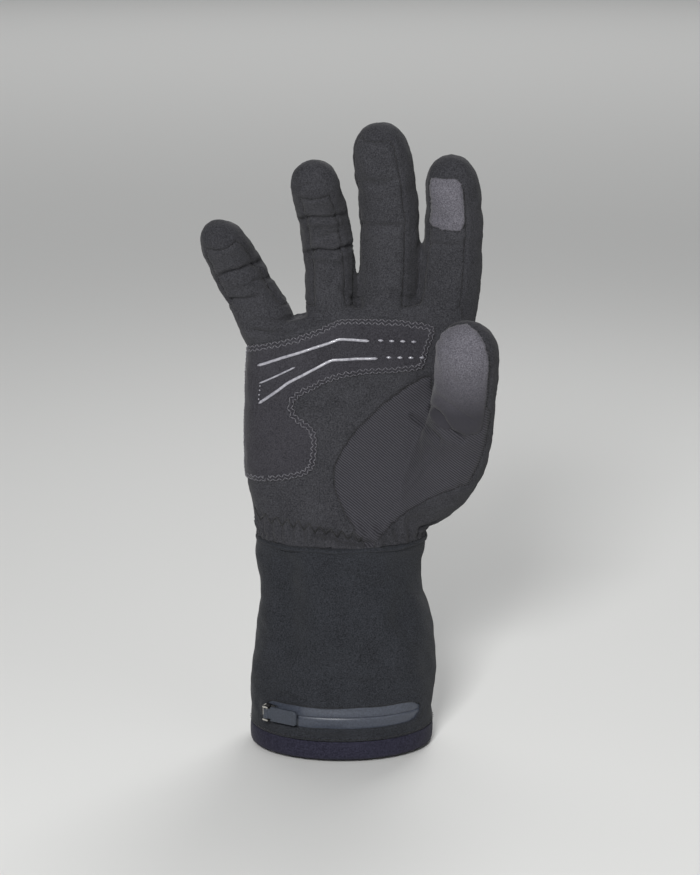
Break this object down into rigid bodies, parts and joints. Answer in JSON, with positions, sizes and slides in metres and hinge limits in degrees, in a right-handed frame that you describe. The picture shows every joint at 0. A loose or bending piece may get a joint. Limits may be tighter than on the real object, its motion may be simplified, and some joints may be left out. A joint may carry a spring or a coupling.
{
  "type": "heated glove",
  "caption": "Right-hand stretch-knit heated glove with curled fingers, a grip-printed palm patch, a thumb gore and a long cuff closed by a front zip.",
  "frame": {"origin": "centre of the cuff's open end, where the wrist goes in, on the plane of the hem", "axes": "+Z from the cuff's opening to the fingertips, -Y out of the palm, +X to the thumb's side"},
  "size_m": [0.1312, 0.0869, 0.2919],
  "materials": {
    "stretch_knit": "matte fine knit",
    "ribbed_knit": "matte knit with fine diagonal ribs",
    "suede_patch": "matte synthetic suede",
    "touch_knit": "matte conductive knit",
    "softshell": "matte softshell",
    "hem_binding": "matte folded binding",
    "silicone_print": "glossy print",
    "coated_tape": "satin laminate",
    "steel": "polished",
    "moulded_rubber": "satin"
  },
  "bodies": {
    "glove": {"palm_panel": "stretch_knit", "back_panel": "stretch_knit", "thumb_panel": "ribbed_knit", "palm_patch": "suede_patch", "index_pad": "touch_knit", "thumb_pad": "touch_knit", "cuff": "softshell", "cuff_hem": "hem_binding", "zip_tape_upper": "coated_tape", "zip_tape_lower": "coated_tape", "zip_slider": "steel", "grip_upper": "silicone_print", "grip_lower": "silicone_print", "grip_short": "silicone_print", "grip_edge": "silicone_print", "grip_dash_upper_1": "silicone_print", "grip_dash_upper_2": "silicone_print", "grip_dash_upper_3": "silicone_print", "grip_dash_upper_4": "silicone_print", "grip_dash_lower_1": "silicone_print", "grip_dash_lower_2": "silicone_print", "grip_dash_lower_3": "silicone_print", "grip_dash_lower_4": "silicone_print"},
    "zip_pull": {"zip_pull": "moulded_rubber"}
  },
  "joints": [
    {"name": "zip_pull_swing", "type": "hinge", "parent": "glove", "child": "zip_pull", "pos_m": [-0.03504, -0.02378, 0.02], "axis": [0, 0, 1], "range_deg": [-150, 0]}
  ]
}
